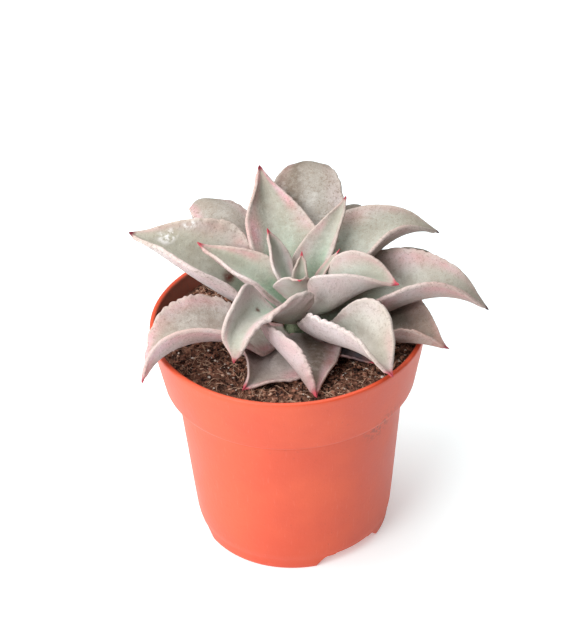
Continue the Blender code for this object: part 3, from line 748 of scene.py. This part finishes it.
def leaf_masks(leaf, look, seed, s, u, under):
    """Where the skin is green, pink, pale, brownish, dried or red, and where shade and light are painted on
    it: each from the place along and across.
    """
    edge = np.abs(u)
    rim = smooth_step(*VERY_RIM, edge)
    wander = skin_noise(s, u, seed, WANDER)
    patchy = skin_noise(s, np.sign(u), seed, PATCHINESS)
    shifted = s + BORDER_SHIFT * wander
    everywhere, toward_foot, in_hollow = GREEN_WEIGHTS
    hollow = smooth_step(*HOLLOW_ALONG, s + SMALL_SHIFT * wander) * smooth_step(*HOLLOW_ACROSS, edge)
    green = everywhere + toward_foot * smooth_step(*GREEN_ALONG, shifted) + in_hollow * hollow
    green = look.green * np.clip(green, 0, 1) * passage(1, GREEN_BELOW, under)
    green = green * passage(1, GREEN_AT_MARGIN, smooth_step(*GREEN_MARGIN, edge))
    band = smooth_step(*BLUSH_BAND, edge + SMALL_SHIFT * wander) * passage(1, BLUSH_AT_RIM, rim)
    band = band * np.clip(PATCHY_MIDDLE + PATCHY_SWING * patchy, *PATCHY_LIMITS)
    faint, banded, beneath = BLUSH_WEIGHTS
    blush = look.blush * ((faint + banded * band) * passage(1, BLUSH_BELOW, under) + beneath * under)
    rosy = ROSY_TIP * smooth_step(*ROSY_ALONG, s) * (1 - look.dark_tip)
    left = smooth_step(*WING_CHANGE, u)
    # Pale lilac: partly bloom on undersides, partly painted light on shaded hollows and wings
    lavender_and_light = passage(look.lavender_and_light[1], look.lavender_and_light[0], left)
    lavender_and_light = lavender_and_light * passage(LAVENDER_LIGHT_AT_KEEL, 1, smooth_step(*LAVENDER_LIGHT_ACROSS, edge))
    # Brownish darkening: partly the leaf's own brown, partly painted shade on wings that lie in shade
    brown = passage(look.brown[1], look.brown[0], left)
    brown = brown * passage(1, BROWN_SHADE_AT_MARGIN, smooth_step(*BROWN_SHADE_MARGIN, edge))
    return {
        "leafgreen": green,
        "blush": np.clip(blush + rosy, 0, 1),
        "rim": rim,
        "mucro": smooth_step(RED_POINT_FROM + DARK_POINT_SHIFT * look.dark_tip, 1.0, s),
        "darktip": np.full_like(s, look.dark_tip),
        "outer": smooth_step(*OUTER_ALONG, s) * (1 - look.cream),
        "cream": smooth_step(*CREAM_ALONG, s) * look.cream * passage(1, CREAM_BELOW, under),
        "dry": look.dry * smooth_step(*OUTER_ALONG, shifted),
        "speckle": look.speckle * passage(SPECKLE_AT_KEEL, 1, edge),
        "underside": under,
        "lavender_and_light": lavender_and_light * smooth_step(*LAVENDER_LIGHT_ALONG, s),
        "brown": brown * passage(1, BROWN_SHADE_BELOW, under),
        "bruise": patches(leaf, BRUISES, s, u),
        "powder": patches(leaf, POWDER, s, u),
        "blue": np.full_like(s, look.blue),
    }


def srgb(colour):
    """A colour given as eight-bit screen values, as the linear colour that Blender reads."""
    linear = []
    for value in colour:
        v = value / 255
        linear.append(v / 12.92 if v <= 0.04045 else ((v + 0.055) / 1.055) ** 2.4)
    return (*linear, 1.0)


class Nodes:
    """Short ways to add shader nodes to one material. A colour is eight-bit values or a node's socket."""

    def __init__(self, name):
        self.material = bpy.data.materials.new(name)
        self.material.use_nodes = True
        self.tree = self.material.node_tree
        self.shader = self.tree.nodes["Principled BSDF"]

    def add(self, kind, **settings):
        node = self.tree.nodes.new(kind)
        for key, value in settings.items():
            setattr(node, key, value)
        return node

    def link(self, value, socket):
        if isinstance(value, bpy.types.NodeSocket):
            self.tree.links.new(value, socket)
        else:
            socket.default_value = value

    def attribute(self, name):
        return self.add("ShaderNodeAttribute", attribute_name=name).outputs["Fac"]

    def place(self):
        return self.add("ShaderNodeTexCoord").outputs["Object"]

    def scaled(self, vector, scale):
        node = self.add("ShaderNodeMapping")
        self.link(vector, node.inputs["Vector"])
        node.inputs["Scale"].default_value = scale
        return node.outputs["Vector"]

    def noise(self, vector, scale, detail, roughness=0.55):
        node = self.add("ShaderNodeTexNoise")
        self.link(vector, node.inputs["Vector"])
        node.inputs["Scale"].default_value = scale
        node.inputs["Detail"].default_value = detail
        node.inputs["Roughness"].default_value = roughness
        return node.outputs["Fac"]

    def span(self, value, low, high, to_low=0.0, to_high=1.0):
        """A smooth passage from one value to another, as the socket's value goes from low to high."""
        node = self.add("ShaderNodeMapRange", interpolation_type="SMOOTHSTEP")
        self.link(value, node.inputs["Value"])
        node.inputs["From Min"].default_value = low
        node.inputs["From Max"].default_value = high
        node.inputs["To Min"].default_value = to_low
        node.inputs["To Max"].default_value = to_high
        return node.outputs["Result"]

    def distance(self, vector, point):
        node = self.add("ShaderNodeVectorMath", operation="DISTANCE")
        self.link(vector, node.inputs[0])
        self.link(point, node.inputs[1])
        return node.outputs["Value"]

    def math(self, operation, a, b):
        node = self.add("ShaderNodeMath", operation=operation)
        self.link(a, node.inputs[0])
        self.link(b, node.inputs[1])
        return node.outputs[0]

    def times(self, a, b):
        return self.math("MULTIPLY", a, b)

    def mix(self, factor, a, b):
        node = self.add("ShaderNodeMix", data_type="RGBA")
        self.link(factor, node.inputs[0])
        for colour, socket in ((a, node.inputs[6]), (b, node.inputs[7])):
            self.link(srgb(colour) if isinstance(colour, tuple) else colour, socket)
        return node.outputs[2]

    def coat(self, under, colour, mask, strength):
        """A colour over another, as far as the mask times the strength says."""
        return self.mix(self.times(mask, strength), under, colour)

    def finish(self, colour, height, roughness, specular, depth, strength):
        """Sets the colour, the gloss and a bump of the given depth in metres, and gives the material."""
        self.link(colour, self.shader.inputs["Base Color"])
        self.link(roughness, self.shader.inputs["Roughness"])
        self.shader.inputs["Specular IOR Level"].default_value = specular
        bump = self.add("ShaderNodeBump")
        self.link(height, bump.inputs["Height"])
        bump.inputs["Distance"].default_value = depth
        bump.inputs["Strength"].default_value = strength
        self.link(bump.outputs["Normal"], self.shader.inputs["Normal"])
        return self.material


def leaf_material():
    """Waxy grey bloom over the leaf's own colours and some painted shade and light, laid on one by one where
    its masks say.
    """
    n = Nodes("farina_skin")
    at = n.place()
    cloud = n.noise(at, *CLOUD)
    mottle = n.noise(at, *MOTTLE)
    grain = n.noise(at, *GRAIN)
    dust = n.noise(at, *DUST)
    cloudy = n.span(cloud, 0.3, 0.7)
    skin = n.mix(n.attribute("underside"), n.mix(cloudy, *UPPER_SKIN), n.mix(cloudy, *LOWER_SKIN))
    skin = n.coat(skin, OUTER_SKIN, n.attribute("outer"), 0.75)
    skin = n.coat(skin, CREAM_SKIN, n.attribute("cream"), 0.75)
    skin = n.mix(n.span(mottle, 0.35, 0.7, 0.0, 0.3), skin, MOTTLED_SKIN)
    green = n.mix(n.span(grain, 0.35, 0.7), *GREEN_SKIN)
    skin = n.coat(skin, green, n.attribute("leafgreen"), n.span(cloud, 0.25, 0.75, 0.75, 1.0))
    # Pale lilac, partly bloom and partly painted light that brightens shaded parts
    skin = n.coat(skin, LAVENDER_BLOOM_AND_LIGHT, n.attribute("lavender_and_light"), 0.8)
    # Brownish darkening, partly the leaf's own brown and partly painted shade
    skin = n.coat(skin, BROWN_AND_SHADE_SKIN, n.attribute("brown"), n.span(mottle, 0.25, 0.65, 0.55, 0.95))
    skin = n.mix(n.attribute("blush"), skin, n.mix(n.span(cloud, 0.4, 0.7), *PINK_SKIN))
    skin = n.coat(skin, RIM_SKIN, n.attribute("rim"), 0.3)
    specks = n.times(n.span(grain, 0.54, 0.64), n.attribute("speckle"))
    skin = n.coat(skin, SPECK_BROWN, specks, 0.65)
    dots = n.times(n.span(dust, 0.6, 0.68), n.attribute("speckle"))
    skin = n.coat(skin, DOT_BROWN, dots, 0.75)
    skin = n.coat(skin, PALE_BLOOM, n.span(dust, 0.42, 0.3), 0.2)
    # Painted shade: dark bluish grey over the leaf that lies under others
    skin = n.coat(skin, WITHERED_SHADE_BLUE, n.attribute("blue"), 0.85)
    dried = n.mix(n.span(cloud, 0.4, 0.65), *DRIED_SKIN)
    skin = n.coat(skin, dried, n.attribute("dry"), n.span(cloud, 0.3, 0.6))
    skin = n.coat(skin, BRUISE_BROWN, n.attribute("bruise"), n.span(mottle, 0.3, 0.6, 0.6, 1.0))
    skin = n.coat(skin, POWDER_WHITE, n.attribute("powder"), n.span(mottle, 0.42, 0.6))
    skin = n.mix(n.attribute("mucro"), skin, n.mix(n.attribute("darktip"), POINT_RED, POINT_DARK))
    height = n.math("ADD", n.times(grain, 0.6), mottle)
    return n.finish(skin, height, roughness=0.75, specular=0.2, depth=0.0005, strength=0.6)


def leaf_slot(name):
    if name.startswith("heart"):
        return "heart_leaf"
    return "old_leaf" if name in OLD_LEAVES else "leaf"


def make_leaves():
    skin = leaf_material()
    for seed, leaf in enumerate(LEAVES):
        mesh = leaf_mesh(leaf, LOOKS[leaf.name], seed)
        add_piece(leaf.name + "_skin", mesh, skin, leaf_slot(leaf.name), leaf.name)


def pot_material():
    """Moulded plastic with faint scuffs, a smear of soil under the band and a soiled inner wall."""
    n = Nodes("moulded_terracotta_plastic")
    at = n.place()
    cloud = n.noise(at, *POT_CLOUD)
    grain = n.noise(at, *POT_GRAIN)
    scratch = n.noise(n.scaled(at, SCRATCH_STRETCH), *POT_SCRATCH)
    colour = n.mix(n.span(cloud, 0.3, 0.7), *TERRACOTTA)
    colour = n.coat(colour, SCUFF, n.span(scratch, 0.62, 0.72), 0.06)
    colour = n.coat(colour, DARK_GRAIN, n.span(grain, 0.66, 0.74), 0.25)
    smear = n.times(n.span(grain, 0.44, 0.56), n.span(n.distance(at, SMEAR_PLACE), *SMEAR_EDGE))
    colour = n.coat(colour, SOIL_SMEAR, smear, 0.6)
    colour = n.coat(colour, SOILED_WALL, n.attribute("inside"), n.span(scratch, 0.2, 0.6, 1.0, 0.8))
    height = n.math("ADD", grain, n.times(scratch, 0.4))
    roughness = n.span(cloud, 0.3, 0.7, 0.42, 0.52)
    return n.finish(colour, height, roughness, specular=0.5, depth=0.0002, strength=0.35)


def foot_gap_lift(degrees):
    """How far a gap lifts the foot's edge at an azimuth: a slope that starts steep, then a step."""
    lifted = 0
    for start, end in FOOT_GAPS:
        inward = min(degrees - start, end - degrees)
        slope = GAP_RISE * min(1, max(0, inward / GAP_RISE_DEGREES)) ** GAP_RISE_SHAPE
        lifted = max(lifted, slope + GAP_STEP * (inward > GAP_STEP_DEGREES))
    return lifted


def make_pot():
    """The pot turned finely, with rounded edges and the three gaps in its foot."""
    profile = POT_OUTSIDE + POT_INSIDE
    points = [(*POT_AXIS, profile[0][1])]
    for radius, height in profile[1:-1]:
        for k in range(POT_SIDES):
            degrees = 360 * k / POT_SIDES
            r, z = radius, height
            if z < GAP_TOP and radius > FOOT_INNER_RADIUS:
                z = z + (GAP_TOP - z) / GAP_TOP * foot_gap_lift(degrees)
                r = r + GAP_LEAN * (z - height) * (radius > FOOT_OUTER_RADIUS)
            t = math.radians(degrees)
            points.append((r * math.cos(t) + POT_AXIS[0], r * math.sin(t) + POT_AXIS[1], z))
    end = len(points)
    points.append((*POT_AXIS, profile[-1][1]))
    rings = len(profile) - 2
    around = [(k, (k + 1) % POT_SIDES) for k in range(POT_SIDES)]
    faces = [(0, 1 + after, 1 + k) for k, after in around]
    faces += tube_faces(rings, POT_SIDES, 1)
    faces += [(end - POT_SIDES + k, end - POT_SIDES + after, end) for k, after in around]
    mesh = finished_mesh("pot_shell", points, faces)
    row = np.concatenate([[0], np.repeat(np.arange(1, rings + 1), POT_SIDES), [rings + 1]])
    add_mask(mesh, "inside", smooth_step(len(POT_OUTSIDE) - 2, len(POT_OUTSIDE), row))
    add_piece("pot_shell", mesh, pot_material(), "terracotta_plastic", "pot")


def soil_height(x, y):
    """Height of the soil at a place from the pot's axis: the source's shallow dips with crumbs on top."""
    dips = math.sin(x * SOIL_RIPPLE[0] + 1.0) * math.sin(y * SOIL_RIPPLE[1] + 0.4)
    dips += 0.5 * math.sin(x * SOIL_DRIFT[0] + y * SOIL_DRIFT[1])
    crumbs = sum(noise.noise(Vector((x * rate, y * rate, plane))) * size for rate, plane, size in CRUMB_WAVES)
    return SOIL_TOP - SOIL_DIP * (1.5 + dips) / 3 + crumbs


def soil_material():
    n = Nodes("damp_peat")
    at = n.place()
    cloud = n.noise(at, *SOIL_CLOUD)
    grain = n.noise(at, *SOIL_GRAIN)
    colour = n.mix(n.span(cloud, 0.3, 0.7), *PEAT)
    colour = n.coat(colour, PALE_PEAT, n.span(grain, 0.56, 0.7), 0.8)
    return n.finish(colour, grain, roughness=0.9, specular=0.2, depth=0.001, strength=0.8)


def lump_material(name, dark, light):
    """Peat, bark, coir or stem: cloudy between two colours, with fine dark grain."""
    n = Nodes(name)
    at = n.place()
    shade = n.noise(at, *LUMP_CLOUD)
    grain = n.noise(at, *LUMP_GRAIN)
    colour = n.mix(n.span(shade, 0.35, 0.65), dark, light)
    colour = n.coat(colour, dark, n.span(grain, 0.5, 0.7), 0.3)
    return n.finish(colour, grain, roughness=0.85, specular=0.2, depth=0.0005, strength=0.6)


def make_soil():
    """The soil's top as a fine crumbly sheet, closed below."""
    turns = [2 * math.pi * k / SOIL_SIDES for k in range(SOIL_SIDES)]
    points = []
    for i in range(SOIL_RINGS + 1):
        radius = SOIL_REACH * (i / SOIL_RINGS) ** SOIL_RING_SPACING
        for t in turns:
            x, y = radius * math.cos(t), radius * math.sin(t)
            points.append((x + POT_AXIS[0], y + POT_AXIS[1], soil_height(x, y)))
    radius, height = SOIL_UNDERSIDE
    for t in turns:
        points.append((radius * math.cos(t) + POT_AXIS[0], radius * math.sin(t) + POT_AXIS[1], height))
    # Wound the other way, because the rings run outward
    faces = [(a, d, c, b) for a, b, c, d in tube_faces(SOIL_RINGS + 2, SOIL_SIDES)]
    faces.append(tuple(range(len(points) - SOIL_SIDES, len(points))))
    mesh = finished_mesh("soil_surface", points, faces, WELD)
    add_piece("soil_surface", mesh, soil_material(), "peat_soil", "soil")


def scatter_place(draw, reach):
    """A random place within reach of the pot's axis, equally likely all over the soil."""
    radius = reach * math.sqrt(draw.random())
    t = draw.uniform(0, 2 * math.pi)
    return radius * math.cos(t), radius * math.sin(t)


def make_lumps(kind):
    """Lumps of uneven size and shape strewn over the soil, as one mesh."""
    draw = random.Random(kind.seed)
    ball = bmesh.new()
    bmesh.ops.create_icosphere(ball, subdivisions=1, radius=1)
    base = np.array([v.co for v in ball.verts])
    base_faces = [tuple(v.index for v in f.verts) for f in ball.faces]
    ball.free()
    points, faces = [], []
    for _ in range(kind.count):
        x, y = scatter_place(draw, LUMP_REACH)
        size = kind.smallest + (kind.largest - kind.smallest) * draw.random() ** LUMP_SMALLNESS
        stretch = np.array([draw.uniform(*span) for span in LUMP_STRETCH]) * (1, 1, kind.flat)
        jitter = np.array([[draw.uniform(*LUMP_JITTER)] for _ in base])
        turn = Matrix.Rotation(draw.uniform(*LUMP_TURN), 3, "Z")
        tilt = Matrix.Rotation(draw.uniform(*LUMP_TILT), 3, "X")
        here = (base * jitter * stretch * size) @ np.array(turn @ tilt).T
        z = soil_height(x, y) + size * draw.uniform(*LUMP_RISE)
        first = len(points)
        points.extend((here + np.array([x + POT_AXIS[0], y + POT_AXIS[1], z])).tolist())
        faces.extend(tuple(first + i for i in face) for face in base_faces)
    mesh = finished_mesh(kind.name, points, faces)
    add_piece(kind.name, mesh, lump_material(kind.material, *kind.colours), "peat_soil")


def make_fibres():
    """Coir fibres: thin bent threads that lie on the crumbs, kept inside the pot."""
    draw = random.Random(FIBRE_SEED)
    points, faces = [], []
    for _ in range(FIBRE_COUNT):
        x, y = scatter_place(draw, FIBRE_REACH)
        heading = draw.uniform(0, 2 * math.pi)
        bend = draw.uniform(*FIBRE_BEND)
        length = draw.uniform(*FIBRE_LENGTH)
        radius = FIBRE_RADIUS * draw.uniform(*FIBRE_UNEVENNESS)
        hump = draw.uniform(*FIBRE_HUMP)
        faces += closed_tube_faces(FIBRE_STEPS + 1, FIBRE_SIDES, len(points))
        for i in range(FIBRE_STEPS + 1):
            share = i / FIBRE_STEPS
            heading += bend / FIBRE_STEPS * draw.uniform(*FIBRE_BEND_UNEVENNESS)
            x += math.cos(heading) * length / FIBRE_STEPS
            y += math.sin(heading) * length / FIBRE_STEPS
            if math.hypot(x, y) > FIBRE_LIMIT:
                x *= FIBRE_LIMIT / math.hypot(x, y)
                y *= FIBRE_LIMIT / math.hypot(x, y)
            z = soil_height(x, y) + FIBRE_LIFT + hump * math.sin(math.pi * share)
            wide = radius * (1 - FIBRE_TAPER * abs(2 * share - 1) ** 3)
            for k in range(FIBRE_SIDES):
                t = 2 * math.pi * k / FIBRE_SIDES
                points.append((x - math.sin(heading) * wide * math.cos(t) + POT_AXIS[0],
                               y + math.cos(heading) * wide * math.cos(t) + POT_AXIS[1],
                               z + wide * math.sin(t)))
    mesh = finished_mesh("coir_fibres", points, faces)
    add_piece("coir_fibres", mesh, lump_material("coir_fibre", *FIBRE_COLOURS), "peat_soil")


def make_stem():
    """The short woody stem between the leaf feet, slightly knobbly."""
    round_rate, height_rate = KNOBBLE_RATES
    points = []
    for radius, height in STEM_PROFILE:
        for k in range(STEM_SIDES):
            t = 2 * math.pi * k / STEM_SIDES
            at = Vector((math.cos(t) * round_rate, math.sin(t) * round_rate, height * height_rate))
            r = radius * (1 + KNOBBLE_DEPTH * noise.noise(at))
            points.append((r * math.cos(t) + ROSETTE_AXIS[0] + POT_AXIS[0],
                           r * math.sin(t) + ROSETTE_AXIS[1] + POT_AXIS[1], height + SOIL_TOP))
    mesh = finished_mesh("stem_bark", points, closed_tube_faces(len(STEM_PROFILE), STEM_SIDES))
    add_piece("stem_bark", mesh, lump_material("stem_bark", *STEM_COLOURS), "stem", "stem")


def make_camera():
    """The photograph's view: a long lens from the front, looking down at about 36 degrees, a bit rolled."""
    elevation = math.radians(CAMERA_ELEVATION)
    roll = math.radians(CAMERA_ROLL)
    forward = Vector((0, math.cos(elevation), -math.sin(elevation)))
    right = Vector((1, 0, 0))
    up = right.cross(forward)
    right_rolled = right * math.cos(roll) + up * math.sin(roll)
    up_rolled = up * math.cos(roll) - right * math.sin(roll)
    data = bpy.data.cameras.new("photo_camera")
    data.sensor_width = SENSOR_WIDTH
    data.sensor_fit = "AUTO"
    data.lens = SENSOR_WIDTH * FOCAL_PIXELS / IMAGE_HEIGHT
    camera = bpy.data.objects.new("photo_camera", data)
    bpy.context.scene.collection.objects.link(camera)
    place = Vector(CAMERA_TARGET) * MM - forward * CAMERA_DISTANCE * MM
    turn = Matrix((right_rolled, up_rolled, -forward)).transposed()
    camera.matrix_world = Matrix.Translation(place) @ turn.to_4x4()
    bpy.context.scene.camera = camera


def add_lamp(name, place, size, power):
    data = bpy.data.lights.new(name, "AREA")
    data.shape = "DISK"
    data.size = size
    data.energy = power
    lamp = bpy.data.objects.new(name, data)
    bpy.context.scene.collection.objects.link(lamp)
    lamp.location = place
    lamp.rotation_euler = (Vector(LAMP_AIM) - Vector(place)).to_track_quat("-Z", "Y").to_euler()


def make_stage():
    """A white floor that glows a little, a dim even world and soft lamps above, in front and at the left."""
    bpy.ops.mesh.primitive_plane_add(size=FLOOR_SIZE, location=(0, 0, 0))
    floor = bpy.context.object
    floor.name = "floor"
    n = Nodes("white_floor")
    n.shader.inputs["Base Color"].default_value = FLOOR_COLOUR
    n.shader.inputs["Roughness"].default_value = 1.0
    n.shader.inputs["Specular IOR Level"].default_value = 0.0
    n.shader.inputs["Emission Color"].default_value = WHITE
    n.shader.inputs["Emission Strength"].default_value = FLOOR_GLOW
    floor.data.materials.append(n.material)
    world = bpy.data.worlds.new("dim_world")
    world.use_nodes = True
    background = world.node_tree.nodes["Background"]
    background.inputs["Color"].default_value = WHITE
    background.inputs["Strength"].default_value = WORLD_STRENGTH
    bpy.context.scene.world = world
    for lamp in LAMPS:
        add_lamp(*lamp)
    bpy.context.scene.view_settings.view_transform = "Standard"


make_camera()
make_stage()
make_pot()
make_soil()
for kind in LUMPS:
    make_lumps(kind)
make_fibres()
make_stem()
make_leaves()
